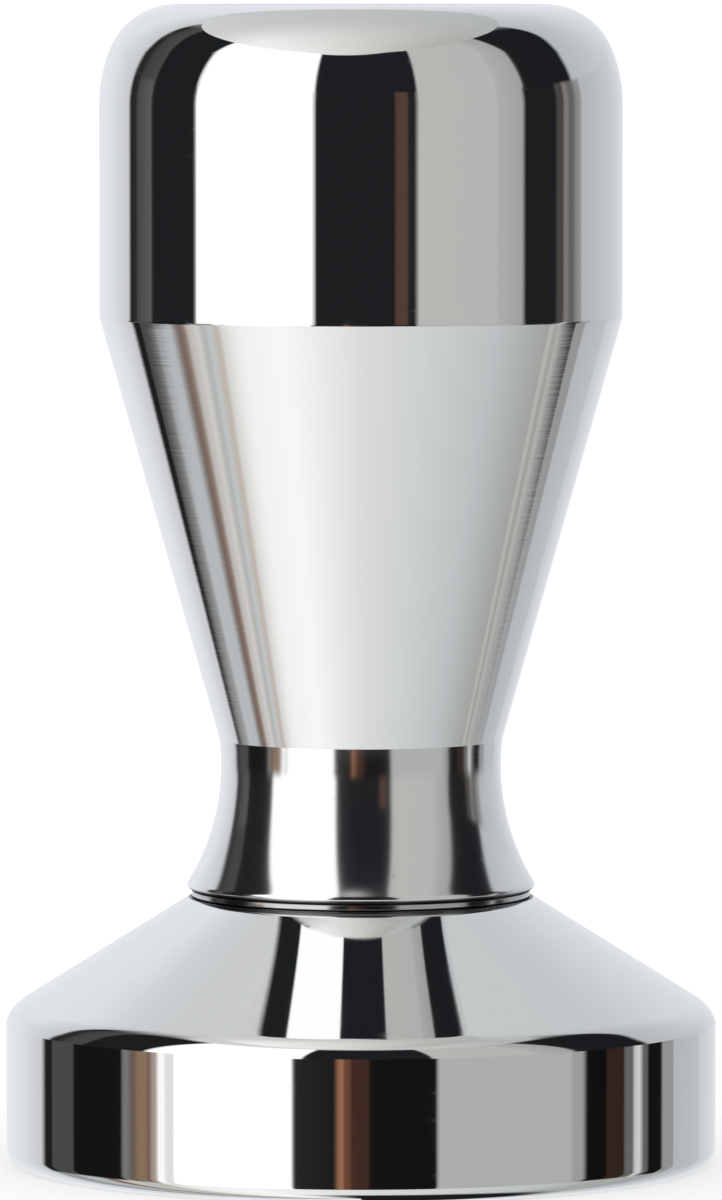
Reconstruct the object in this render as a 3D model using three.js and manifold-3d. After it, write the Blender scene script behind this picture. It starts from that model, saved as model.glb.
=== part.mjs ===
// Espresso tamper for a 51 mm filter basket.
// Millimetres, +Z up. The origin is the centre of the flat tamping face, so the tamper stands on z = 0.
//
// From the bench up: a turned steel base with a blind tapped socket, a loose spacer ring on its top
// face, and a turned handle that carries a rubber sealing ring and a thread-locked M8 stud.
// Handle, sealing ring and stud unscrew from the base together.

import * as THREE from "three";
import { mergeVertices } from "three/addons/utils/BufferGeometryUtils.js";
import Module from "manifold-3d";

const wasm = await Module();
wasm.setup();

// ---- Driving dimensions ------------------------------------------------------------------------

const DEGREES = Math.PI / 180;

const TURNED_SEGMENTS = 72; // facets round the turned surfaces
const FILLET_STEP = 12 * DEGREES; // turn between two points of a rounded edge
const FLARE_STEP = 6 * DEGREES; // the same for the long hollow arc of the skirt
const WELD = 1e-4; // points closer than this are one point

const FACE_GAP = 0.05; // left between two pieces that rest on each other
const OVERRUN = 1; // how far a cutting shape passes the face that it cuts

const BASE = {
  radius: 25.5, // 51 mm across, the filter basket's size
  rimHeight: 10.16, // the straight rim ends here, in a soft crease
  coneFoot: 10.9, // the height at which the cone's side would meet the rim's
  height: 19.15,
  topRadius: 12.35,
  faceEdge: 1.2, // rounding between the tamping face and the rim
  shoulder: 2.62, // radius that leads from the crease into the cone
  topEdge: 0.3,
};

const SPACER = {
  bottom: BASE.height + FACE_GAP,
  thickness: 0.45,
  radius: 12.15,
  holeRadius: 4.6,
  edge: 0.08, // chamfer on the outer edges
};

const HANDLE = {
  bottom: SPACER.bottom + SPACER.thickness + FACE_GAP,
  top: 83.15,
  skirtEdge: 0.35, // rounding of the skirt's lower edge
  neckRadius: 10.04, // the narrowest place
  neckZ: 28.6,
  flareRadius: 16.0, // the skirt is one hollow arc of this radius
  neckCrease: 30.5, // where the skirt's arc meets the taper
  gripRadius: 18.72,
  gripCrease: 60.75, // where the taper meets the straight grip
  creaseEdge: 0.6, // rounding of the grip's crease
  crownSide: 10.75, // the palm edge rounds off in two arcs: this one rises from the grip
  crownTurn: 21 * DEGREES, // and gives way here
  crownTop: 5.2, // to a tighter one, which runs into the flat palm face
};

// M8 x 1.25 coarse thread, right-hand. The sockets are the rod's own shape, opened up by a clearance.
const THREAD = {
  pitch: 1.25,
  crestRadius: 4.0,
  depth: 0.767,
  flankAngle: 30 * DEGREES, // between a flank and a plane across the axis
  crestFlat: 0.156,
  clearance: 0.2, // radial, rod to socket
  segments: 20, // facets to a turn
};

const STUD = {
  turnsInBase: 8,
  length: 25.0,
  chamfer: 0.8,
  blankSpare: 0.05, // the chamfered blank is this much larger than the crests
  hexAcrossFlats: 4.0,
  hexSides: 6,
  hexDepth: 4.0,
};
const STUD_BOTTOM = BASE.height - STUD.turnsInBase * THREAD.pitch;

const SEAL = {
  sectionRadius: 1.0,
  radius: 5.1, // of the section's centre line
  sectionSteps: 14,
  recessRadius: 6.2,
  recessDepth: 2.1,
};

const SOCKET = {
  spare: 1.1, // bore left past each end of the stud
  drillPoint: 59 * DEGREES, // half the drill's included angle
  drillTip: 0.01, // radius of the drill's chisel edge
  drillOverlap: 0.1, // the drill's cone starts this far inside the threaded bore
  mouthChamfer: 0.45,
};

// ---- Materials ---------------------------------------------------------------------------------

const material = (color, roughness, metalness) =>
  new THREE.MeshStandardMaterial({ color, roughness, metalness });

const handleChrome = material(0xd4d7da, 0.05, 1.0);
const polishedSteel = material(0xcdd0d2, 0.07, 1.0);
const studSteel = material(0x8e9092, 0.35, 1.0);
const sealRubber = material(0x1b1b1c, 0.7, 0.0);

// ---- Profiles ----------------------------------------------------------------------------------

const point = (r, z) => new THREE.Vector2(r, z);

/** Points of an arc about (r, z) from angle a to angle b, in the profile's plane. */
function arc(r, z, radius, a, b, step = FILLET_STEP) {
  const steps = Math.max(2, Math.round(Math.abs(b - a) / step));
  return Array.from({ length: steps + 1 }, (_, i) => {
    const angle = a + ((b - a) * i) / steps;
    return point(r + radius * Math.cos(angle), z + radius * Math.sin(angle));
  });
}

/** The corner at b, between a and c, as an arc that is tangent to both sides. */
function fillet(a, b, c, radius) {
  const back = a.clone().sub(b).normalize();
  const on = c.clone().sub(b).normalize();
  const half = Math.acos(THREE.MathUtils.clamp(back.dot(on), -1, 1)) / 2;
  const centre = back.clone().add(on).setLength(radius / Math.sin(half)).add(b);
  const from = b.clone().addScaledVector(back, radius / Math.tan(half)).sub(centre);
  const to = b.clone().addScaledVector(on, radius / Math.tan(half)).sub(centre);
  const start = Math.atan2(from.y, from.x);
  const turn = Math.atan2(from.cross(to), from.dot(to));
  return arc(centre.x, centre.y, radius, start, start + turn);
}

/** An arc from a point just under the straight side a-b that runs into the side without a crease. */
function leadIn(from, a, b, radius) {
  const along = b.clone().sub(a).normalize();
  const outward = point(along.y, -along.x);
  const under = outward.dot(a.clone().sub(from));
  const reach = along.dot(from.clone().sub(a)) + Math.sqrt(under * (2 * radius - under));
  const centre = a.clone().addScaledVector(along, reach).addScaledVector(outward, -radius);
  const start = from.clone().sub(centre).angle();
  return arc(centre.x, centre.y, radius, start, outward.angle());
}

// ---- Solids ------------------------------------------------------------------------------------

/** A closed mesh's geometry as a solid. */
function solid(geometry) {
  const bare = geometry.clone();
  bare.deleteAttribute("normal");
  bare.deleteAttribute("uv");
  const merged = mergeVertices(bare, WELD);
  return new wasm.Manifold(
    new wasm.Mesh({
      numProp: 3,
      vertProperties: merged.attributes.position.array,
      triVerts: new Uint32Array(merged.index.array),
    }),
  );
}

/** A profile of (radius, height) points turned about the Z axis. */
function turned(profile, segments = TURNED_SEGMENTS) {
  return solid(new THREE.LatheGeometry(profile, segments).rotateX(Math.PI / 2));
}

/** A plain cylinder or truncated cone, from the lower height to the upper one. */
function plug(r0, z0, r1, z1, segments = THREAD.segments) {
  return turned([point(0, z0), point(r0, z0), point(r1, z1), point(0, z1)], segments);
}

/** The same with its ends in either order. */
function cone(r0, z0, r1, z1) {
  return z0 < z1 ? plug(r0, z0, r1, z1) : plug(r1, z1, r0, z0);
}

/**
 * A threaded rod from low to high, opened up radially by grow. Four rows of points follow the helix
 * in each pitch, two on the crest and two in the root, and row j at the end of a turn is row j + 4
 * at its start. Each end is closed by a fan to the axis. Every rod shares one helix, so a stud
 * meshes with the sockets that are cut by a larger rod.
 */
function threadedRod(low, high, grow) {
  const { pitch, crestRadius, depth, flankAngle, crestFlat, segments } = THREAD;
  const flank = depth * Math.tan(flankAngle);
  const rows = [
    { r: crestRadius + grow, z: 0 },
    { r: crestRadius + grow, z: crestFlat },
    { r: crestRadius + grow - depth, z: crestFlat + flank },
    { r: crestRadius + grow - depth, z: pitch - flank },
  ];
  const firstTurn = Math.floor(low / pitch) - 1;
  const turns = Math.ceil(high / pitch) + 1 - firstTurn;
  const last = turns * rows.length;

  const positions = [];
  for (let j = 0; j <= last; j++)
    for (let i = 0; i < segments; i++) {
      const { r, z } = rows[j % rows.length];
      const angle = (2 * Math.PI * i) / segments;
      const turn = firstTurn + Math.floor(j / rows.length) + i / segments;
      positions.push(r * Math.cos(angle), r * Math.sin(angle), turn * pitch + z);
    }
  const at = (i, j) =>
    i < segments ? j * segments + i : (j + rows.length) * segments;
  const bottomCentre = positions.length / 3;
  positions.push(0, 0, firstTurn * pitch);
  positions.push(0, 0, (firstTurn + turns) * pitch);

  const faces = [];
  for (let j = 0; j < last; j++)
    for (let i = 0; i < segments; i++) {
      if (i === segments - 1 && j + 1 + rows.length > last) continue; // past the last turn's end
      const [a, b, c, d] = [at(i, j), at(i + 1, j), at(i + 1, j + 1), at(i, j + 1)];
      faces.push(a, b, c, a, c, d);
    }
  for (let i = 0; i < segments; i++)
    faces.push(bottomCentre, at(i + 1, 0), at(i, 0));
  for (let j = 0; j < rows.length; j++)
    faces.push(bottomCentre, at(0, j), at(0, j + 1));
  for (let i = 0; i < segments - 1; i++)
    faces.push(bottomCentre + 1, at(i, last), at(i + 1, last));
  for (let j = last - rows.length; j < last; j++)
    faces.push(bottomCentre + 1, at(segments - 1, j + 1), at(segments - 1, j));
  faces.push(bottomCentre + 1, at(segments - 1, last - rows.length), at(0, last));

  return new wasm.Manifold(
    new wasm.Mesh({
      numProp: 3,
      vertProperties: new Float32Array(positions),
      triVerts: new Uint32Array(faces),
    }),
  );
}

/** What a tap and drill remove: a threaded bore from mouth to end, a drill point and a chamfer. */
function tappedSocket(mouth, end) {
  const { mouthChamfer, drillPoint, drillTip, drillOverlap } = SOCKET;
  const direction = Math.sign(end - mouth);
  const major = THREAD.crestRadius + THREAD.clearance;
  const minor = major - THREAD.depth;
  const outside = mouth - direction * OVERRUN;
  const [low, high] = [Math.min(outside, end), Math.max(outside, end)];
  const bore = threadedRod(low, high, THREAD.clearance).intersect(
    plug(major + OVERRUN, low, major + OVERRUN, high),
  );

  const inside = end - direction * drillOverlap;
  const tip = end + (direction * minor) / Math.tan(drillPoint);
  const drilled = cone(minor, inside, drillTip, tip);
  const wide = major + mouthChamfer;
  const chamfer = cone(wide, mouth, minor, mouth + direction * (wide - minor));
  const entry = cone(wide, outside, wide, mouth);
  return bore.add(drilled).add(chamfer).add(entry);
}

// ---- Pieces ------------------------------------------------------------------------------------

/** The turned steel piston: flat face, straight rim, cone, and a tapped socket in its top. */
function makeBase() {
  const { radius, rimHeight, coneFoot, height, topRadius, faceEdge, shoulder, topEdge } = BASE;
  const foot = point(0, 0);
  const rimBottom = point(radius, 0);
  const rimTop = point(radius, rimHeight);
  const coneBottom = point(radius, coneFoot);
  const coneTop = point(topRadius, height);
  const crown = point(0, height);
  const body = turned([
    foot,
    ...fillet(foot, rimBottom, rimTop, faceEdge),
    ...leadIn(rimTop, coneBottom, coneTop, shoulder),
    ...fillet(coneBottom, coneTop, crown, topEdge),
    crown,
  ]);
  return body.subtract(tappedSocket(height, STUD_BOTTOM - SOCKET.spare));
}

/** The polished ring seen as a thin band between the handle's skirt and the base. */
function makeSpacer() {
  const { bottom, thickness, radius, holeRadius, edge } = SPACER;
  const top = bottom + thickness;
  return turned([
    point(holeRadius, bottom),
    point(radius - edge, bottom),
    point(radius, bottom + edge),
    point(radius, top - edge),
    point(radius - edge, top),
    point(holeRadius, top),
    point(holeRadius, bottom),
  ]);
}

/** The skirt's hollow arc, from just above its rounded lower edge to the crease below the taper. */
function skirtArc() {
  const { bottom, skirtEdge, neckRadius, neckZ, flareRadius, neckCrease } = HANDLE;
  const angleAt = (z) => Math.PI + Math.asin((neckZ - z) / flareRadius);
  const start = angleAt(bottom + 2 * skirtEdge);
  const [centre, end] = [neckRadius + flareRadius, angleAt(neckCrease)];
  return {
    points: arc(centre, neckZ, flareRadius, start, end, FLARE_STEP),
    slope: -Math.tan(start), // the radius gained for each millimetre up, where the arc starts
  };
}

/** The palm edge, from the straight grip to the flat palm face. */
function crownArcs() {
  const { top, gripRadius, crownSide, crownTurn, crownTop } = HANDLE;
  const shift = crownSide - crownTop;
  const topR = gripRadius - crownSide + shift * Math.cos(crownTurn);
  const topZ = top - crownTop;
  const sideZ = topZ - shift * Math.sin(crownTurn);
  const side = arc(gripRadius - crownSide, sideZ, crownSide, 0, crownTurn);
  const upper = arc(topR, topZ, crownTop, crownTurn, Math.PI / 2);
  return [...side, ...upper.slice(1)];
}

/** The turned handle: skirt, neck, taper, straight grip and rounded palm edge. */
function makeHandle() {
  const { bottom, top, skirtEdge, gripRadius, gripCrease, creaseEdge } = HANDLE;
  const skirt = skirtArc();
  const [start, neck] = [skirt.points[0], skirt.points.at(-1)];
  const foot = point(0, bottom);
  const skirtCorner = point(start.x - skirt.slope * (start.y - bottom), bottom);
  const crown = crownArcs();
  const body = turned([
    foot,
    ...fillet(foot, skirtCorner, start, skirtEdge),
    ...skirt.points,
    ...fillet(neck, point(gripRadius, gripCrease), crown[0], creaseEdge),
    ...crown,
    point(0, top),
  ]);
  const recessTop = bottom + SEAL.recessDepth;
  const { recessRadius } = SEAL;
  const recess = plug(recessRadius, bottom - OVERRUN, recessRadius, recessTop, TURNED_SEGMENTS);
  const socketEnd = STUD_BOTTOM + STUD.length + SOCKET.spare;
  return body.subtract(recess).subtract(tappedSocket(recessTop, socketEnd));
}

/** The rubber ring in the handle's recess. It grips the stud and keeps the joint from working loose. */
function makeSeal() {
  const { radius, sectionRadius, sectionSteps, recessDepth } = SEAL;
  const z = HANDLE.bottom + recessDepth / 2;
  const step = (2 * Math.PI) / sectionSteps;
  return turned(arc(radius, z, sectionRadius, -Math.PI, Math.PI, step), TURNED_SEGMENTS / 2);
}

/** A headless M8 x 25 screw with a hexagon socket in its lower end. */
function makeStud() {
  const { length, chamfer, blankSpare, hexAcrossFlats, hexSides, hexDepth } = STUD;
  const bottom = STUD_BOTTOM;
  const top = bottom + length;
  const face = THREAD.crestRadius - chamfer;
  const shank = THREAD.crestRadius + blankSpare;
  const blank = turned(
    [
      point(0, bottom),
      point(face, bottom),
      point(shank, bottom + chamfer),
      point(shank, top - chamfer),
      point(face, top),
      point(0, top),
    ],
    THREAD.segments,
  );
  const hexRadius = hexAcrossFlats / Math.sqrt(3);
  const hex = plug(hexRadius, bottom - OVERRUN, hexRadius, bottom + hexDepth, hexSides);
  return threadedRod(bottom, top, 0).intersect(blank).subtract(hex);
}

// ---- Assembly ----------------------------------------------------------------------------------

/** A named mesh of a solid. */
function piece(name, made, finish) {
  const { vertProperties, triVerts } = made.getMesh();
  const geometry = new THREE.BufferGeometry();
  geometry.setAttribute("position", new THREE.BufferAttribute(vertProperties, 3));
  geometry.setIndex(new THREE.BufferAttribute(triVerts, 1));
  geometry.computeVertexNormals();
  const mesh = new THREE.Mesh(geometry, finish);
  mesh.name = name;
  return mesh;
}

const baseGroup = new THREE.Group();
baseGroup.add(
  piece("base", makeBase(), polishedSteel),
  piece("spacer_ring", makeSpacer(), polishedSteel),
);

const handleGroup = new THREE.Group();
handleGroup.add(
  piece("handle", makeHandle(), handleChrome),
  piece("seal_ring", makeSeal(), sealRubber),
  piece("threaded_stud", makeStud(), studSteel),
);

const tamper = new THREE.Group();
tamper.add(baseGroup, handleGroup);

export default tamper;
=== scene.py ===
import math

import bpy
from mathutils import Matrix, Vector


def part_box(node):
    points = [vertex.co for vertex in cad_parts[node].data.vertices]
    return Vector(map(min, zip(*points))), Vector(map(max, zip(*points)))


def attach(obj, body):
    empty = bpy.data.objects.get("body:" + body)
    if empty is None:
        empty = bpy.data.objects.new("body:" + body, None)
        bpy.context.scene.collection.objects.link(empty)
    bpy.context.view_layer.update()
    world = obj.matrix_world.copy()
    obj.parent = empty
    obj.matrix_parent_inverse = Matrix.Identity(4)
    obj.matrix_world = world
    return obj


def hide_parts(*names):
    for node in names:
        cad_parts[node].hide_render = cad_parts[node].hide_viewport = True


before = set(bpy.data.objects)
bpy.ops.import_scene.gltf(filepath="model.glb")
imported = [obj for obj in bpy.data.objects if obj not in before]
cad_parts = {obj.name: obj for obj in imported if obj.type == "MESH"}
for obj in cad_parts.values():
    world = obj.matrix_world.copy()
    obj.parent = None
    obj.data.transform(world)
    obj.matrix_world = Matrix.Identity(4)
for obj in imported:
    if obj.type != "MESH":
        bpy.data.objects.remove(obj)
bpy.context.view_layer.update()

# A turned, mirror-polished espresso tamper on a pale sweep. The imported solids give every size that
# they can; the profile's own radii and creases are the named millimetre values below. Each visible
# piece is turned again here at a finer step, so that its reflections run smoothly.

MM = 0.001


def edges(node):
    """A turned node's (bottom, top, radius), in millimetres."""
    low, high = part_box(node)
    return low.z / MM, high.z / MM, high.x / MM


BASE_BOTTOM, BASE_TOP, BASE_RADIUS = edges("base")
RING_BOTTOM, RING_TOP, RING_RADIUS = edges("spacer_ring")
HANDLE_BOTTOM, HANDLE_TOP, GRIP_RADIUS = edges("handle")
SEAL_BOTTOM, SEAL_TOP, SEAL_OUTER = edges("seal_ring")
STUD_BOTTOM, STUD_TOP, STUD_RADIUS = edges("threaded_stud")

# ---- The profile's own dimensions, in millimetres ---------------------------------------------

RIM_HEIGHT = 10.16  # the straight rim ends here, in a soft crease
CONE_FOOT = 10.9  # the height at which the cone's side would meet the rim's
CONE_TOP_RADIUS = 12.35
FACE_EDGE = 1.2
SHOULDER = 2.62  # leads from the crease into the cone
CONE_TOP_EDGE = 0.3

RING_HOLE = 4.6
RING_EDGE = 0.1

SKIRT_EDGE = 0.35
NECK_RADIUS = 10.04
NECK_Z = 28.6
FLARE_RADIUS = 16.0
NECK_CREASE = 30.5
GRIP_CREASE = 60.75
CREASE_EDGE = 0.5
CROWN_SIDE = 10.75
CROWN_TURN = math.radians(21)
CROWN_TOP = 5.2

SEAL_RECESS_RADIUS = 6.2
SEAL_RECESS_TOP = HANDLE_BOTTOM + 2.1
SEAL_SECTION = 1.0

PITCH = 1.25  # M8 coarse thread
THREAD_DEPTH = 0.767
THREAD_CLEARANCE = 0.2
CREST_FLAT = 0.125  # shares of the pitch
ROOT_FLAT = 0.25
STUD_CHAMFER = 0.8
HEX_FLATS = 4.0
HEX_DEPTH = 4.0
SOCKET_SPARE = 1.1  # bore left past each end of the stud
SOCKET_LIP = 0.45  # chamfer at a socket's mouth
SOCKET_PLAIN = 0.2  # at its closed end, below the last of the thread
LIP_STEP = 0.02  # from the first thread to the chamfer
DRILL_POINT = math.radians(59)

# ---- Turning -----------------------------------------------------------------------------------

SEGMENTS = 224  # round the axis
SMALL_SEGMENTS = 96  # round the seal and the stud
SEAL_STEPS = 48  # round the seal's section
ARC_STEP = math.radians(2.5)  # along a rounded stretch
RUN_STEP = 0.6  # along a straight stretch, in millimetres
THREAD_STEP = PITCH / 16
SHARP = math.radians(6)  # a break in the profile above this stays crisp
ON_AXIS = 1e-6  # millimetres
SAME_RADIUS = 1e-6  # metres


def arc(r, z, radius, start, end):
    """Points of an arc about (r, z)."""
    steps = max(3, math.ceil(abs(end - start) / ARC_STEP))
    angles = [start + (end - start) * i / steps for i in range(steps + 1)]
    return [(r + radius * math.cos(a), z + radius * math.sin(a)) for a in angles]


def fillet(a, b, c, radius):
    """The corner at b, between a and c, as an arc that is tangent to both sides."""
    back = unit(a[0] - b[0], a[1] - b[1])
    on = unit(c[0] - b[0], c[1] - b[1])
    middle = unit(back[0] + on[0], back[1] + on[1])
    half = math.acos(back[0] * on[0] + back[1] * on[1]) / 2
    centre = (b[0] + middle[0] * radius / math.sin(half), b[1] + middle[1] * radius / math.sin(half))
    reach = radius / math.tan(half)
    first = (b[0] + back[0] * reach - centre[0], b[1] + back[1] * reach - centre[1])
    last = (b[0] + on[0] * reach - centre[0], b[1] + on[1] * reach - centre[1])
    start = math.atan2(first[1], first[0])
    turn = math.atan2(first[0] * last[1] - first[1] * last[0], first[0] * last[0] + first[1] * last[1])
    return arc(centre[0], centre[1], radius, start, start + turn)


def lead_in(start, a, b, radius):
    """An arc from a point just under the straight side a-b that runs into the side without a crease."""
    along = unit(b[0] - a[0], b[1] - a[1])
    outward = (along[1], -along[0])
    offset = (a[0] - start[0], a[1] - start[1])
    under = outward[0] * offset[0] + outward[1] * offset[1]
    reach = math.sqrt(under * (2 * radius - under)) - along[0] * offset[0] - along[1] * offset[1]
    centre = (
        a[0] + along[0] * reach - outward[0] * radius,
        a[1] + along[1] * reach - outward[1] * radius,
    )
    first = math.atan2(start[1] - centre[1], start[0] - centre[0])
    return arc(centre[0], centre[1], radius, first, math.atan2(outward[1], outward[0]))


def unit(x, y):
    """The direction of (x, y)."""
    length = math.hypot(x, y)
    return x / length, y / length


def run(points):
    """The same outline with points added along its straight stretches."""
    filled = [points[0]]
    for before, after in zip(points, points[1:]):
        length = math.hypot(after[0] - before[0], after[1] - before[1])
        steps = max(1, math.ceil(length / RUN_STEP))
        for i in range(1, steps + 1):
            share = i / steps
            filled.append(tuple(a + (b - a) * share for a, b in zip(before, after)))
    return filled


def thread(radius, start, end):
    """Rows (radius, z, True) of a stretch that has the thread cut into it."""
    steps = max(1, round(abs(end - start) / THREAD_STEP))
    return [(radius, start + (end - start) * i / steps, True) for i in range(steps + 1)]


def thread_depth(z, angle):
    """How far the thread's groove lies under its crest at a height and an angle."""
    phase = (z / PITCH - angle / (2 * math.pi)) % 1.0
    flank = (1 - CREST_FLAT - ROOT_FLAT) / 2
    if phase < CREST_FLAT:
        return 0.0
    if phase < CREST_FLAT + flank:
        return THREAD_DEPTH * (phase - CREST_FLAT) / flank
    if phase < CREST_FLAT + flank + ROOT_FLAT:
        return THREAD_DEPTH
    return THREAD_DEPTH * (1 - phase) / flank


def turned(name, rows, material, closed=False, segments=SEGMENTS):
    """A solid of revolution. A row is (radius, z), or (radius, z, True) where the thread is cut.

    A row on the axis becomes one point. A closed outline joins its last row to its first.
    """
    vertices = []
    rings = []
    for row in rows:
        if row[0] < ON_AXIS:
            rings.append([len(vertices)])
            vertices.append((0.0, 0.0, row[1] * MM))
            continue
        rings.append(list(range(len(vertices), len(vertices) + segments)))
        for i in range(segments):
            angle = 2 * math.pi * i / segments
            r = row[0] - (thread_depth(row[1], angle) if len(row) > 2 else 0.0)
            vertices.append((r * math.cos(angle) * MM, r * math.sin(angle) * MM, row[1] * MM))
    pairs = list(zip(rings, rings[1:]))
    if closed:
        pairs.append((rings[-1], rings[0]))
    faces = []
    for lower, upper in pairs:
        for i in range(segments):
            j = (i + 1) % segments
            if len(lower) == 1:
                faces.append((lower[0], upper[j], upper[i]))
            elif len(upper) == 1:
                faces.append((lower[i], lower[j], upper[0]))
            else:
                faces.append((lower[i], lower[j], upper[j], upper[i]))
    mesh = bpy.data.meshes.new(name)
    mesh.from_pydata(vertices, [], faces)
    mesh.validate()
    mesh.shade_smooth()
    mesh.set_sharp_from_angle(angle=SHARP)
    mesh.materials.append(material)
    piece = bpy.data.objects.new(name, mesh)
    bpy.context.scene.collection.objects.link(piece)
    return piece


# ---- Materials ---------------------------------------------------------------------------------
# Heights and radii of zones are in millimetres. Other lengths are in metres, as the shaders see
# them, and a noise's scale is its number of cells to a metre.

LATHE_DRIFT = 0.0002  # how far the lathe lines wander for each radian round the axis
BROAD_WAVE = 14  # lathe lines to one broad wave of the surface
BROAD_GAIN = 3  # how much deeper that wave is than the lines
HAIR_DRIFT = 0.004  # sets a hairline scratch's length round the axis
HAIR_SCALE = 2600.0
HAIR_SHARE = (0.69, 0.76)  # noise between these two fades a scratch in
HAIR_GAIN = 0.08  # a scratch's depth as a share of the lathe lines'
SMUDGE_SCALE = 140.0
SMUDGE_SHARE = (0.5, 0.78)
SMUDGE_ROUGHNESS = 0.02
SOFT_ROUGHNESS = 0.085
# Painted shade: the colour that the metal darkens to towards a joint, standing in for the shade that falls
# there. The extra roughness below is the unpolished metal.
SEAM_SHADE_COLOUR = (0.05, 0.05, 0.055, 1.0)
SEAM_ROUGHNESS = 0.25
SEAM_SHADE_PATCHES = (0.25, 0.6, 0.75, 1.0)  # low noise, high noise, and the share of the painted shade at each
FACED_EDGE = 0.3  # how softly a faced zone ends, in millimetres
FACING_PITCH = 0.00022
FACING_GAIN = 50.0  # how much deeper the facing tool's rings are than the polished lathe lines
HIDDEN_RADIUS = RING_RADIUS - 0.4  # inside this the joint's faces are never polished, in millimetres
PAST = 1  # how far a zone's open side passes the piece, in millimetres
SKIN = 0.02  # how far a zone that only takes in a flat face reaches into the piece
SKIRT_SKIN = 0.05

# Roughness where the facing tool has been: the joint's hidden faces, the palm face, the tamping face
SATIN = 0.3
PALM_SATIN = 0.32
FACE_SATIN = 0.16

SKIRT_SEAM = (0.3, 0.12)  # above the skirt's foot, where the painted shade starts and where it is full
CONE_SEAM = 0.06  # below the base's top face, where the painted shade starts
RING_SEAM = 0.12  # the same inward from each of the ring's faces
CONE_START = CONE_FOOT + 0.6  # the cone's side is straight from here up

GRAIN_SCALE = 9000.0  # the rubber's
GRAIN_DEPTH = 6e-6
DUST_SCALE = 900.0
DUST_SHARE = (0.5, 0.8)
RUBBER_BLACK = (0.011, 0.011, 0.012, 1.0)
RUBBER_DUSTY = (0.03, 0.03, 0.03, 1.0)
RUBBER_ROUGHNESS = (0.3, 0.7, 0.48, 0.68)  # low noise, high noise, and the roughness at each


class Graph:
    """Short calls for a material's or the world's nodes."""

    def __init__(self, tree):
        self.tree = tree
        tree.nodes.clear()

    def node(self, kind, **settings):
        made = self.tree.nodes.new(kind)
        for key, value in settings.items():
            setattr(made, key, value)
        return made

    def feed(self, socket, value):
        if isinstance(value, bpy.types.NodeSocket):
            self.tree.links.new(value, socket)
        else:
            socket.default_value = value

    def math(self, operation, a, b=0.0):
        made = self.node("ShaderNodeMath", operation=operation)
        self.feed(made.inputs[0], a)
        self.feed(made.inputs[1], b)
        return made.outputs[0]

    def ease(self, value, low, high, start=0.0, end=1.0, smooth=True):
        kind = "SMOOTHSTEP" if smooth else "LINEAR"
        made = self.node("ShaderNodeMapRange", interpolation_type=kind)
        for socket, given in zip(made.inputs, (value, low, high, start, end)):
            self.feed(socket, given)
        return made.outputs[0]

    def between(self, height, low, high):
        """1 between two heights given in millimetres, and 0 elsewhere."""
        above = self.math("GREATER_THAN", height, low * MM)
        return self.math("MULTIPLY", above, self.math("LESS_THAN", height, high * MM))

    def combine(self, x, y, z):
        made = self.node("ShaderNodeCombineXYZ")
        for socket, given in zip(made.inputs, (x, y, z)):
            self.feed(socket, given)
        return made.outputs[0]

    def noise(self, vector, scale, detail=2.0, roughness=0.5):
        made = self.node("ShaderNodeTexNoise")
        self.feed(made.inputs["Vector"], vector)
        self.feed(made.inputs["Scale"], scale)
        self.feed(made.inputs["Detail"], detail)
        self.feed(made.inputs["Roughness"], roughness)
        return made.outputs["Fac"]

    def blend(self, share, a, b):
        made = self.node("ShaderNodeMix", data_type="RGBA")
        self.feed(made.inputs["Factor"], share)
        self.feed(made.inputs["A"], a)
        self.feed(made.inputs["B"], b)
        return made.outputs["Result"]

    def turned_place(self):
        """A point's own coordinates on a turned piece, with its radius, height and angle."""
        place = self.node("ShaderNodeTexCoord").outputs["Object"]
        parts = self.node("ShaderNodeSeparateXYZ")
        self.feed(parts.inputs[0], place)
        x, y, z = parts.outputs
        squares = self.math("ADD", self.math("MULTIPLY", x, x), self.math("MULTIPLY", y, y))
        return place, self.math("SQRT", squares), z, self.math("ARCTAN2", y, x)

    def bump(self, height, distance, normal=None):
        made = self.node("ShaderNodeBump")
        self.feed(made.inputs["Height"], height)
        self.feed(made.inputs["Distance"], distance)
        if normal is not None:
            self.feed(made.inputs["Normal"], normal)
        return made.outputs["Normal"]


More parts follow.
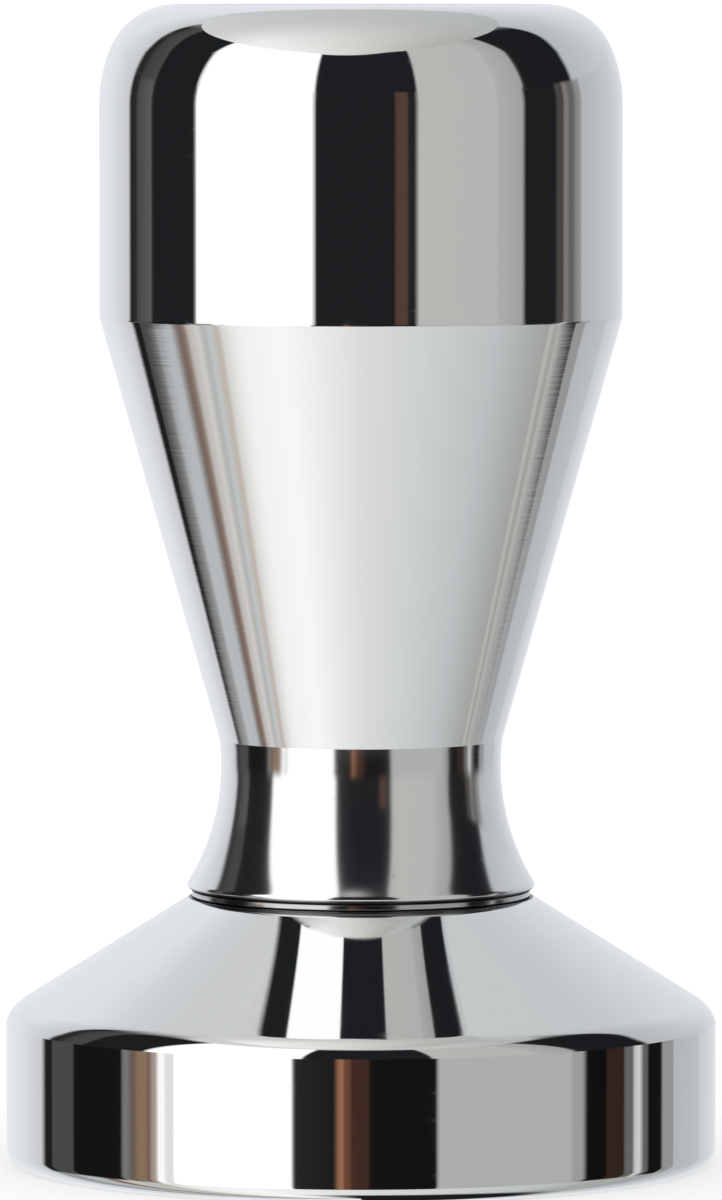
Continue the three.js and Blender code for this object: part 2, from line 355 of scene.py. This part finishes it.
def metal(
    name,
    tint,
    polish,
    lathe_height,
    lathe_pitch,
    scratches,
    shaded_seams=(),
    turned_zone=None,
    turned_gain=1.0,
    soft_zone=None,
    faced=(),
):
    """Turned and polished metal.

    polish is the roughness of the unmarked mirror. Lathe lines run round the axis, lathe_pitch apart
    and lathe_height deep. Polishing leaves short hairline scratches and a few duller smudges. Each
    shaded seam is a (start, full) pair of heights in millimetres: from the one towards the other the
    metal grows duller, as the wheel doesn't reach into the joint, and darker in patches of painted
    shade, which stand in for the shade that falls into the joint. Between the two heights of
    turned_zone the wheel has left more of the lathe lines, turned_gain times as deep. Between those
    of soft_zone it couldn't press as hard, and the mirror is softer. A faced zone is a (bottom, top,
    radius, roughness): what lies between the heights and inside the radius is as the facing tool left
    it, satin, with its fine rings.
    """
    material = bpy.data.materials.new(name)
    material.use_nodes = True
    g = Graph(material.node_tree)
    place, radius, height, angle = g.turned_place()

    along = g.combine(radius, height, g.math("MULTIPLY", angle, LATHE_DRIFT))
    lathe = g.noise(along, 1 / lathe_pitch, detail=3.0, roughness=0.6)
    broad = g.noise(along, 1 / (BROAD_WAVE * lathe_pitch), detail=1.0)
    hair_place = g.combine(g.math("MULTIPLY", angle, HAIR_DRIFT), g.math("ADD", height, radius), 0.0)
    hairs = g.ease(g.noise(hair_place, HAIR_SCALE, detail=1.0), *HAIR_SHARE)
    patches = g.noise(place, SMUDGE_SCALE, detail=3.0)

    rough = g.math("ADD", polish, g.math("MULTIPLY", hairs, scratches))
    smudge = g.ease(patches, *SMUDGE_SHARE)
    rough = g.math("ADD", rough, g.math("MULTIPLY", smudge, SMUDGE_ROUGHNESS))
    if soft_zone:
        inside = g.between(height, *soft_zone)
        rough = g.math("ADD", rough, g.math("MULTIPLY", inside, SOFT_ROUGHNESS))
    if turned_zone:
        inside = g.between(height, *turned_zone)
        lathe = g.math("MULTIPLY", lathe, g.ease(inside, 0.0, 1.0, 1.0, turned_gain, smooth=False))

    satin = 0.0
    for bottom, top, reach, satin_roughness in faced:
        near_axis = g.ease(radius, (reach - FACED_EDGE) * MM, reach * MM, 1.0, 0.0)
        inside = g.math("MULTIPLY", g.between(height, bottom, top), near_axis)
        satin = g.math("MAXIMUM", satin, inside)
        rough = g.math("MAXIMUM", rough, g.math("MULTIPLY", inside, satin_roughness))
    if faced:
        rings_place = g.combine(g.math("ADD", radius, height), 0.0, 0.0)
        rings = g.noise(rings_place, 1 / FACING_PITCH, detail=2.0)
        lathe = g.math("ADD", lathe, g.math("MULTIPLY", satin, g.math("MULTIPLY", rings, FACING_GAIN)))

    colour = (*tint, 1.0)
    # Painted shade: towards each joint the colour darkens in patches, standing in for the shade that falls
    # into it; the metal is also rougher there, unpolished.
    if shaded_seams:
        seam_shade = 0.0
        for shade_start, end in shaded_seams:
            way = 1.0 if end > shade_start else -1.0
            depth = g.math("MULTIPLY", g.math("SUBTRACT", height, shade_start * MM), way)
            seam_shade = g.math("MAXIMUM", seam_shade, g.ease(depth, 0.0, abs(end - shade_start) * MM))
        seam_shade = g.math("MULTIPLY", seam_shade, g.ease(patches, *SEAM_SHADE_PATCHES))
        if faced:
            seam_shade = g.math("MULTIPLY", seam_shade, g.math("SUBTRACT", 1.0, satin))
        colour = g.blend(seam_shade, colour, SEAM_SHADE_COLOUR)
        rough = g.math("ADD", rough, g.math("MULTIPLY", seam_shade, SEAM_ROUGHNESS))

    normal = g.bump(lathe, lathe_height)
    normal = g.bump(broad, lathe_height * BROAD_GAIN, normal)
    normal = g.bump(g.math("MULTIPLY", hairs, -1.0), lathe_height * HAIR_GAIN, normal)

    shader = g.node("ShaderNodeBsdfPrincipled")
    g.feed(shader.inputs["Base Color"], colour)
    g.feed(shader.inputs["Metallic"], 1.0)
    g.feed(shader.inputs["Roughness"], rough)
    g.feed(shader.inputs["Normal"], normal)
    out = g.node("ShaderNodeOutputMaterial")
    g.feed(out.inputs["Surface"], shader.outputs[0])
    return material


def rubber(name):
    """Black nitrile rubber with a fine moulded grain."""
    material = bpy.data.materials.new(name)
    material.use_nodes = True
    g = Graph(material.node_tree)
    place = g.node("ShaderNodeTexCoord").outputs["Object"]
    grain = g.noise(place, GRAIN_SCALE, detail=2.0)
    dust = g.noise(place, DUST_SCALE, detail=3.0)
    colour = g.blend(g.ease(dust, *DUST_SHARE), RUBBER_BLACK, RUBBER_DUSTY)
    shader = g.node("ShaderNodeBsdfPrincipled")
    g.feed(shader.inputs["Base Color"], colour)
    g.feed(shader.inputs["Roughness"], g.ease(dust, *RUBBER_ROUGHNESS))
    g.feed(shader.inputs["Normal"], g.bump(grain, GRAIN_DEPTH))
    out = g.node("ShaderNodeOutputMaterial")
    g.feed(out.inputs["Surface"], shader.outputs[0])
    return material


CHROME = metal(
    "polished_chrome",
    (0.93, 0.935, 0.94),
    polish=0.028,
    lathe_height=3.5e-7,
    lathe_pitch=0.00035,
    scratches=0.05,
    shaded_seams=[tuple(HANDLE_BOTTOM + height for height in SKIRT_SEAM)],
    turned_zone=(NECK_CREASE, GRIP_CREASE),
    turned_gain=9.0,
    soft_zone=(HANDLE_BOTTOM, NECK_CREASE),
    faced=[
        (HANDLE_BOTTOM - PAST, HANDLE_BOTTOM + SKIRT_SKIN, HIDDEN_RADIUS, SATIN),
        (HANDLE_BOTTOM - PAST, GRIP_CREASE, SEAL_RECESS_RADIUS + PAST, SATIN),
        (HANDLE_TOP - SKIN, HANDLE_TOP + PAST, GRIP_RADIUS, PALM_SATIN),
    ],
)
STEEL = metal(
    "polished_steel",
    (0.92, 0.925, 0.925),
    polish=0.035,
    lathe_height=4.0e-7,
    lathe_pitch=0.00035,
    scratches=0.03,
    shaded_seams=[(BASE_TOP - CONE_SEAM, BASE_TOP)],
    turned_zone=(CONE_START, BASE_TOP),
    turned_gain=4.0,
    faced=[
        (FACE_EDGE, BASE_TOP + PAST, HIDDEN_RADIUS, SATIN),
        (BASE_BOTTOM - PAST, BASE_BOTTOM + SKIN, BASE_RADIUS, FACE_SATIN),
    ],
)
RING_STEEL = metal(
    "ring_steel",
    (0.6, 0.61, 0.61),
    polish=0.13,
    lathe_height=9.0e-7,
    lathe_pitch=0.0002,
    scratches=0.06,
    shaded_seams=[(RING_BOTTOM + RING_SEAM, RING_BOTTOM), (RING_TOP - RING_SEAM, RING_TOP)],
    faced=[(RING_BOTTOM - PAST, RING_TOP + PAST, HIDDEN_RADIUS, SATIN)],
)
STUD_STEEL = metal(
    "plain_steel",
    (0.5, 0.5, 0.5),
    polish=0.3,
    lathe_height=1.5e-6,
    lathe_pitch=0.0002,
    scratches=0.1,
)
RUBBER = rubber("seal_rubber")

# ---- Pieces ------------------------------------------------------------------------------------


def socket(mouth, end):
    """Rows of a tapped hole, from the drill's point to the chamfer at its mouth."""
    way = 1 if end > mouth else -1
    major = STUD_RADIUS + THREAD_CLEARANCE
    minor = major - THREAD_DEPTH
    tip = end + way * minor / math.tan(DRILL_POINT)
    lip = mouth + way * (SOCKET_LIP + THREAD_DEPTH)
    rows = [(0.0, tip), (minor, end)]
    rows += thread(major, end - way * SOCKET_PLAIN, lip)
    rows += [(minor, lip - way * LIP_STEP), (major + SOCKET_LIP, mouth)]
    return rows


def make_base():
    """The piston: flat face, rim and cone, with a tapped hole in its top."""
    rim_foot = (BASE_RADIUS, BASE_BOTTOM)
    rim_top = (BASE_RADIUS, RIM_HEIGHT)
    cone_foot = (BASE_RADIUS, CONE_FOOT)
    cone_top = (CONE_TOP_RADIUS, BASE_TOP)
    outside = run(
        [(0.0, BASE_BOTTOM)]
        + fillet((0.0, BASE_BOTTOM), rim_foot, rim_top, FACE_EDGE)
        + lead_in(rim_top, cone_foot, cone_top, SHOULDER)
        + fillet(cone_foot, cone_top, (0.0, BASE_TOP), CONE_TOP_EDGE)
        + [(STUD_RADIUS + THREAD_CLEARANCE + SOCKET_LIP, BASE_TOP)]
    )
    inside = socket(BASE_TOP, STUD_BOTTOM - SOCKET_SPARE)
    return turned("base_piston", outside + inside[::-1][1:], STEEL)


def make_ring():
    """The thin ring between the base and the skirt."""
    hole_bottom = (RING_HOLE, RING_BOTTOM)
    low_edge = (RING_RADIUS, RING_BOTTOM)
    high_edge = (RING_RADIUS, RING_TOP)
    hole_top = (RING_HOLE, RING_TOP)
    outline = run(
        [hole_bottom]
        + fillet(hole_bottom, low_edge, high_edge, RING_EDGE)
        + fillet(low_edge, high_edge, hole_top, RING_EDGE)
        + [hole_top]
    )
    return turned("polished_ring", outline, RING_STEEL, closed=True)


def make_handle():
    """Skirt, neck, taper, grip and palm edge, with the seal's recess and a tapped hole below."""

    def angle_at(z):
        return math.pi + math.asin((NECK_Z - z) / FLARE_RADIUS)

    centre = NECK_RADIUS + FLARE_RADIUS
    start = angle_at(HANDLE_BOTTOM + 2 * SKIRT_EDGE)
    skirt = arc(centre, NECK_Z, FLARE_RADIUS, start, angle_at(NECK_CREASE))
    corner = (skirt[0][0] + math.tan(start) * (skirt[0][1] - HANDLE_BOTTOM), HANDLE_BOTTOM)
    recess_edge = (SEAL_RECESS_RADIUS, HANDLE_BOTTOM)

    shift = CROWN_SIDE - CROWN_TOP
    top_r = GRIP_RADIUS - CROWN_SIDE + shift * math.cos(CROWN_TURN)
    top_z = HANDLE_TOP - CROWN_TOP
    side_z = top_z - shift * math.sin(CROWN_TURN)
    crown = arc(GRIP_RADIUS - CROWN_SIDE, side_z, CROWN_SIDE, 0.0, CROWN_TURN)
    crown += arc(top_r, top_z, CROWN_TOP, CROWN_TURN, math.pi / 2)[1:]

    outside = run(
        [recess_edge]
        + fillet(recess_edge, corner, skirt[0], SKIRT_EDGE)
        + skirt
        + fillet(skirt[-1], (GRIP_RADIUS, GRIP_CREASE), crown[0], CREASE_EDGE)
        + crown
        + [(0.0, HANDLE_TOP)]
    )
    inside = socket(SEAL_RECESS_TOP, STUD_TOP + SOCKET_SPARE)
    recess = run([(SEAL_RECESS_RADIUS, SEAL_RECESS_TOP), recess_edge])
    return turned("handle_body", inside + recess[:-1] + outside, CHROME)


def make_seal():
    """The seal, a ring of round section."""
    middle = (SEAL_BOTTOM + SEAL_TOP) / 2
    centre = SEAL_OUTER - SEAL_SECTION
    turns = [2 * math.pi * i / SEAL_STEPS for i in range(SEAL_STEPS)]
    section = [(centre + SEAL_SECTION * math.cos(a), middle + SEAL_SECTION * math.sin(a)) for a in turns]
    return turned("rubber_seal", section, RUBBER, closed=True, segments=SMALL_SEGMENTS)


def make_stud():
    """The stud, with its ends chamfered through the thread and a hexagon socket below."""
    hex_top = STUD_BOTTOM + HEX_DEPTH
    hex_corner = HEX_FLATS / math.sqrt(3)
    end_radius = STUD_RADIUS - STUD_CHAMFER
    rows = [(0.0, hex_top), (hex_corner, hex_top), (hex_corner, STUD_BOTTOM), (end_radius, STUD_BOTTOM)]
    rows += thread(STUD_RADIUS, STUD_BOTTOM, STUD_TOP)
    rows += [(end_radius, STUD_TOP), (0.0, STUD_TOP)]
    piece = turned("stud_m8", rows, STUD_STEEL, segments=SMALL_SEGMENTS)
    for vertex in piece.data.vertices:
        x, y, z = vertex.co
        radius = math.hypot(x, y)
        from_end = min(z / MM - STUD_BOTTOM, STUD_TOP - z / MM)
        most = (end_radius + max(from_end, 0.0)) * MM
        if abs(radius - hex_corner * MM) < SAME_RADIUS:
            turn = math.atan2(y, x) % (math.pi / 3) - math.pi / 6
            most = HEX_FLATS / 2 / math.cos(turn) * MM
        if radius > most:
            vertex.co = (x * most / radius, y * most / radius, z)
    return piece


PIECES = [
    (make_base, "base", "base", "polished_steel"),
    (make_ring, "spacer_ring", "base", "polished_steel"),
    (make_handle, "handle", "handle", "handle_chrome"),
    (make_seal, "seal_ring", "seal", "seal_rubber"),
    (make_stud, "threaded_stud", "handle", "stud_steel"),
]
for make, node, body, slot in PIECES:
    piece = make()
    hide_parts(node)
    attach(piece, body)

# ---- Studio ------------------------------------------------------------------------------------
# Lengths are in metres. Azimuths are in degrees from the camera's side of the tamper, positive to
# its right. Greys and colours are display values, where 255 is white and more is brighter still.

LOOK_DOWN = math.radians(3.645)
CAMERA_DISTANCE = 0.6937
CAMERA_HEIGHT = 0.08465
CAMERA_REACH = 200.0
LENS = 290.6

PLAIN_LIGHT = 1.06
MIRROR_GAIN = 1.08  # makes up for what the metal keeps

FLOOR_REACH = 60.0
FLOOR_COLOUR = (0.45, 0.45, 0.45, 1.0)
FLOOR_GLOW = 0.55  # light that comes through the table from below

SOFTBOX = (-0.008, -0.022, 0.149)
SOFTBOX_REACH = (0.064, 0.080)  # sideways, and to the front and back
SOFTBOX_CORNERS = 96
SOFTBOX_ACROSS = (-0.054, 0.045)  # its left colours give way to its right ones between these
SOFTBOX_DEEP = (-0.049, 0.005)  # and its front colours to its back ones between these
SOFTBOX_FRONT = ((238, 238, 235), (174, 175, 169))  # left, right
SOFTBOX_BACK = ((203, 204, 203), (176, 178, 178))

# Elevations, in degrees, over which one band of the studio gives way to the next
TABLE_TO_LOW = (-22.5, -18.4)
LOW_TO_LEVEL = (-6.3, -2.2)
LEVEL_TO_UPPER = (10.0, 12.0)

# The upper panels end at an elevation that falls from front to back, and ever more softly. Each is
# the distance round from the front where the change starts and ends, and the value at each.
PANEL_TOP = (112.0, 146.0, 58.0, 46.0)
PANEL_SOFTNESS = (96.0, 130.0, 1.5, 9.0)

# The sweep behind leans back as it rises, and takes the strips beside it along.
LEAN_BY_RISE = (20.0, 52.0, 0.0, 15.0)  # the elevations where the lean starts and ends, and the lean
LEAN_BY_SIDE = (84.0, 124.0)  # it grows to the full between these, measured round from the front

# Painted contact shadow: a dark patch low in the studio that stands in for the shade on the table under the
# tamper, which its own foot reflects as a dark line where it meets the table
CONTACT_SHADOW_COLOUR = (27, 27, 29)
CONTACT_RISE = (-54.0, -64.0)
CONTACT_SIDE = (-40.0, 0.0)

# The panels' cloth is a little uneven, in streaks that stand upright.
WEAVE_ROUND = 0.8
WEAVE_UP = 0.05
WEAVE_GAIN = (-9.0, -6.0, 0.0, 0.05)  # only above the table


def linear(value):
    """A display colour, a grey or (r, g, b), as linear RGBA by the sRGB curve."""
    channels = (value,) * 3 if isinstance(value, (int, float)) else value
    share = [c / 255 for c in channels]
    return tuple(s / 12.92 if s < 0.04 else ((s + 0.055) / 1.055) ** 2.4 for s in share) + (1.0,)


RAMP_PANELS = 15  # a colour ramp holds 32 stops

# (from azimuth, to azimuth, colour at each end)
LEVEL = [  # seen level with the grip
    (-180, -150, (224, 227, 231), (222, 225, 229)),
    (-142, -124, (217, 220, 223), (200, 201, 204)),
    (-122, -117, 34, 44),
    (-116, -105.5, 70, 90),
    (-104.5, -78, (29, 31, 33), (29, 31, 33)),
    (-77, -21, 262, 262),
    (-20, 14.5, (29, 31, 33), (29, 31, 33)),
    (15.5, 20, (84, 62, 55), (80, 60, 54)),
    (21, 24, 36, 34),
    (25, 62, (182, 183, 179), (180, 180, 177)),
    (62, 75, (172, 173, 171), (160, 160, 158)),
    (77, 95, (29, 30, 32), (29, 30, 32)),
    (96, 100, (72, 69, 66), (70, 67, 64)),
    (101, 103.5, (126, 122, 118), (119, 116, 113)),
    (104.5, 107.5, (96, 94, 92), (104, 102, 100)),
    (108.5, 113, (124, 124, 124), (150, 150, 150)),
    (114, 130, (176, 179, 182), (185, 189, 192)),
    (145, 180, (196, 200, 204), (224, 227, 231)),
]
UPPER = [  # above the low furniture of the room
    (-180, -150, (222, 225, 229), (220, 223, 227)),
    (-142, -124, (213, 216, 219), (198, 200, 202)),
    (-122, -117, 34, 44),
    (-116, -105.5, 62, 72),
    (-104.5, -78, (28, 30, 32), (28, 30, 32)),
    (-77, -21, 262, 262),
    (-20, 24, (29, 30, 34), (29, 30, 34)),
    (25, 62, (182, 183, 179), (180, 180, 177)),
    (62, 76, (172, 173, 171), (160, 160, 158)),
    (77.5, 107.5, (27, 29, 31), (26, 27, 30)),
    (109.5, 130, (180, 183, 186), (189, 193, 197)),
    (145, 180, (199, 203, 207), (222, 225, 229)),
]
OVERHEAD = [  # the room's own ceiling, round the softbox
    (-180, -120, (206, 208, 210), (196, 197, 199)),
    (-120, -40, (196, 197, 199), (214, 214, 211)),
    (-40, 90, (214, 214, 211), (176, 178, 178)),
    (90, 180, (176, 178, 178), (206, 208, 210)),
]
LOW = [  # seen by the rim
    (-180, -150, (228, 230, 234), (222, 224, 229)),
    (-142, -127, (217, 219, 223), (199, 200, 203)),
    (-124, -120, 31, 29),
    (-119, -107, 72, 71),
    (-106.5, -84, 20, 20),
    (-83, -80.5, 117, 115),
    (-80, -78, (105, 92, 85), (108, 94, 84)),
    (-77, -73.5, (134, 108, 88), (138, 113, 92)),
    (-73, -72, (115, 93, 79), (117, 94, 80)),
    (-71.5, -69.5, (153, 136, 128), (168, 156, 148)),
    (-68.5, -66.5, 250, 248),
    (-66, -63, 224, 219),
    (-62.5, -22.5, 262, 262),
    (-21.5, -8.5, 38, 28),
    (-7, -6, (149, 106, 79), (147, 104, 78)),
    (-5, -3, (108, 72, 54), (95, 62, 47)),
    (-3, 2.5, (66, 43, 37), (62, 40, 35)),
    (3, 24, 20, 18),
    (25, 71.5, 173, 172),
    (72, 76, 156, 154),
    (78, 86, 16, 15),
    (86.5, 94, (50, 37, 30), (49, 35, 29)),
    (95, 98.5, 101, 97),
    (99.5, 102, 190, 205),
    (104, 106, 96, 94),
    (107, 114, 18, 19),
    (115, 121.5, 146, 148),
    (122, 142.5, (178, 181, 184), (186, 190, 193)),
    (142.5, 180, (196, 200, 204), (228, 230, 234)),
]
TABLE = [  # the pale table, as the taper sees it
    (-180, -165, (238, 241, 245), (229, 231, 235)),
    (-155, -136, (222, 225, 230), (212, 216, 219)),
    (-130, -126, (200, 204, 207), (189, 193, 197)),
    (-122.5, -112, 148, 152),
    (-108.5, -99, (182, 184, 186), (180, 183, 185)),
    (-95, -93.5, (128, 120, 116), (118, 104, 96)),
    (-92.5, -90, (124, 98, 90), (140, 126, 116)),
    (-88, -82.5, (186, 181, 176), (204, 202, 198)),
    (-80, -78.5, (182, 181, 179), (178, 178, 176)),
    (-76, -75, (189, 195, 196), (190, 193, 192)),
    (-73, -71, (190, 182, 174), (190, 181, 172)),
    (-69, -62, (212, 210, 206), (234, 234, 232)),
    (-58, -40, (240, 240, 238), (246, 246, 244)),
    (-36, 0, (245, 245, 243), (217, 219, 217)),
    (6, 30, (214, 216, 214), (205, 207, 207)),
    (36, 64, (203, 205, 205), (188, 192, 193)),
    (70, 86, (184, 188, 189), (168, 172, 172)),
    (90, 96.5, (168, 168, 166), (160, 162, 159)),
    (98, 99, (182, 182, 177), (176, 178, 173)),
    (100.5, 102, (158, 160, 157), (156, 158, 155)),
    (103.5, 105, (176, 177, 172), (172, 172, 168)),
    (107, 113, (163, 163, 161), (158, 159, 160)),
    (117, 126, (162, 165, 167), (178, 182, 184)),
    (134, 150, (188, 192, 195), (201, 206, 210)),
    (158, 180, (209, 213, 217), (238, 241, 245)),
]


def panorama(g, azimuth, panels):
    """Panels round the whole studio, as colour ramps over the azimuth that share them out."""
    colour = None
    for first in range(0, len(panels), RAMP_PANELS):
        part = panels[first : first + RAMP_PANELS]
        low, high = part[0][0], part[-1][1]
        ramp = g.node("ShaderNodeValToRGB")
        g.feed(ramp.inputs[0], g.ease(azimuth, low, high, smooth=False))
        elements = ramp.color_ramp.elements
        elements[0].color = linear(part[0][2])
        elements[1].color = linear(part[-1][3])
        stops = [(place, shade) for a, b, start, end in part for place, shade in ((a, start), (b, end))]
        for place, shade in stops[1:-1]:
            elements.new((place - low) / (high - low)).color = linear(shade)
        if colour is None:
            colour = ramp.outputs[0]
        else:
            border = (panels[first - 1][1] + low) / 2
            colour = g.blend(g.math("GREATER_THAN", azimuth, border), colour, ramp.outputs[0])
    return colour


def make_world():
    """A studio that only mirrors see: panels round the tamper, a pale sweep behind and below.

    Every other ray sees plain white, which lights the floor evenly.
    """
    world = bpy.data.worlds.new("studio")
    bpy.context.scene.world = world
    world.use_nodes = True
    world.cycles.sampling_method = "NONE"  # sampled as a light, it would show mirrors its plain white
    g = Graph(world.node_tree)
    way = g.node("ShaderNodeTexCoord").outputs["Generated"]
    parts = g.node("ShaderNodeSeparateXYZ")
    g.feed(parts.inputs[0], way)
    x, y, z = parts.outputs
    front = g.math("MULTIPLY", y, -1.0)
    azimuth = g.math("MULTIPLY", g.math("ARCTAN2", x, front), math.degrees(1))
    elevation = g.math("MULTIPLY", g.math("ARCSINE", z), math.degrees(1))
    side = g.math("ABSOLUTE", azimuth)

    lean = g.math("MULTIPLY", g.ease(elevation, *LEAN_BY_RISE), g.ease(side, *LEAN_BY_SIDE))
    leaned = g.math("SUBTRACT", azimuth, g.math("MULTIPLY", lean, g.math("SIGN", azimuth)))
    above = g.math("SUBTRACT", elevation, g.ease(side, *PANEL_TOP))
    over_top = g.ease(g.math("DIVIDE", above, g.ease(side, *PANEL_SOFTNESS)), -1.0, 1.0)

    colour = panorama(g, azimuth, TABLE)
    colour = g.blend(g.ease(elevation, *TABLE_TO_LOW), colour, panorama(g, azimuth, LOW))
    colour = g.blend(g.ease(elevation, *LOW_TO_LEVEL), colour, panorama(g, azimuth, LEVEL))
    colour = g.blend(g.ease(elevation, *LEVEL_TO_UPPER), colour, panorama(g, leaned, UPPER))
    colour = g.blend(over_top, colour, panorama(g, azimuth, OVERHEAD))
    # Painted contact shadow: the studio darkens far below the horizon, on its right-hand side
    contact_shadow = g.math("MULTIPLY", g.ease(elevation, *CONTACT_RISE), g.ease(azimuth, *CONTACT_SIDE))
    colour = g.blend(contact_shadow, colour, linear(CONTACT_SHADOW_COLOUR))

    weave_round = g.math("MULTIPLY", azimuth, WEAVE_ROUND)
    weave_up = g.math("MULTIPLY", elevation, WEAVE_UP)
    weave = g.noise(g.combine(weave_round, weave_up, 0.0), 1.0, detail=4.0)
    uneven = g.math("MULTIPLY", g.ease(elevation, *WEAVE_GAIN), g.math("SUBTRACT", weave, 0.5))

    mirror = g.node("ShaderNodeBackground")
    g.feed(mirror.inputs["Color"], colour)
    g.feed(mirror.inputs["Strength"], g.math("ADD", MIRROR_GAIN, uneven))
    plain = g.node("ShaderNodeBackground")
    g.feed(plain.inputs["Color"], (1.0, 1.0, 1.0, 1.0))
    g.feed(plain.inputs["Strength"], PLAIN_LIGHT)
    mix = g.node("ShaderNodeMixShader")
    g.feed(mix.inputs[0], g.node("ShaderNodeLightPath").outputs["Is Glossy Ray"])
    g.feed(mix.inputs[1], plain.outputs[0])
    g.feed(mix.inputs[2], mirror.outputs[0])
    out = g.node("ShaderNodeOutputWorld")
    g.feed(out.inputs["Surface"], mix.outputs[0])


def stage_sheet(name, corners, material):
    """One flat face of the studio."""
    mesh = bpy.data.meshes.new(name)
    mesh.from_pydata(corners, [], [tuple(range(len(corners)))])
    mesh.materials.append(material)
    made = bpy.data.objects.new(name, mesh)
    bpy.context.scene.collection.objects.link(made)
    return made


def make_floor():
    """A pale floor, hidden from the mirrors, which see the studio's own table instead."""
    material = bpy.data.materials.new("pale_floor")
    material.use_nodes = True
    g = Graph(material.node_tree)
    diffuse = g.node("ShaderNodeBsdfDiffuse")
    g.feed(diffuse.inputs["Color"], FLOOR_COLOUR)
    glow = g.node("ShaderNodeEmission")
    g.feed(glow.inputs["Strength"], FLOOR_GLOW)
    both = g.node("ShaderNodeAddShader")
    g.feed(both.inputs[0], diffuse.outputs[0])
    g.feed(both.inputs[1], glow.outputs[0])
    out = g.node("ShaderNodeOutputMaterial")
    g.feed(out.inputs["Surface"], both.outputs[0])
    far = FLOOR_REACH
    floor = stage_sheet("floor", [(-far, -far, 0), (far, -far, 0), (far, far, 0), (-far, far, 0)], material)
    floor.visible_glossy = False


def make_overhead():
    """A round softbox over the tamper, brighter on its left, that only the mirrors see."""
    material = bpy.data.materials.new("overhead_softbox")
    material.use_nodes = True
    g = Graph(material.node_tree)
    parts = g.node("ShaderNodeSeparateXYZ")
    g.feed(parts.inputs[0], g.node("ShaderNodeTexCoord").outputs["Object"])
    x, y, _ = parts.outputs
    across = g.ease(x, *SOFTBOX_ACROSS, smooth=False)
    front = g.blend(across, *map(linear, SOFTBOX_FRONT))
    back = g.blend(across, *map(linear, SOFTBOX_BACK))
    shader = g.node("ShaderNodeEmission")
    g.feed(shader.inputs["Color"], g.blend(g.ease(y, *SOFTBOX_DEEP), front, back))
    g.feed(shader.inputs["Strength"], MIRROR_GAIN)
    out = g.node("ShaderNodeOutputMaterial")
    g.feed(out.inputs["Surface"], shader.outputs[0])
    turns = [2 * math.pi * i / SOFTBOX_CORNERS for i in range(SOFTBOX_CORNERS)]
    centre_x, centre_y, height = SOFTBOX
    wide, deep = SOFTBOX_REACH
    corners = [(centre_x + wide * math.cos(a), centre_y + deep * math.sin(a), height) for a in turns]
    card = stage_sheet("overhead", corners, material)
    card.visible_camera = False
    card.visible_diffuse = False
    card.visible_shadow = False


def make_camera():
    """The photographer's long lens, a little above the palm face and looking slightly down."""
    data = bpy.data.cameras.new("camera")
    data.lens = LENS
    data.clip_end = CAMERA_REACH
    camera = bpy.data.objects.new("camera", data)
    bpy.context.scene.collection.objects.link(camera)
    camera.location = (0.0, -CAMERA_DISTANCE, CAMERA_HEIGHT)
    camera.rotation_euler = (math.pi / 2 - LOOK_DOWN, 0.0, 0.0)
    bpy.context.scene.camera = camera


make_world()
make_floor()
make_overhead()
make_camera()
bpy.context.scene.view_settings.view_transform = "Standard"
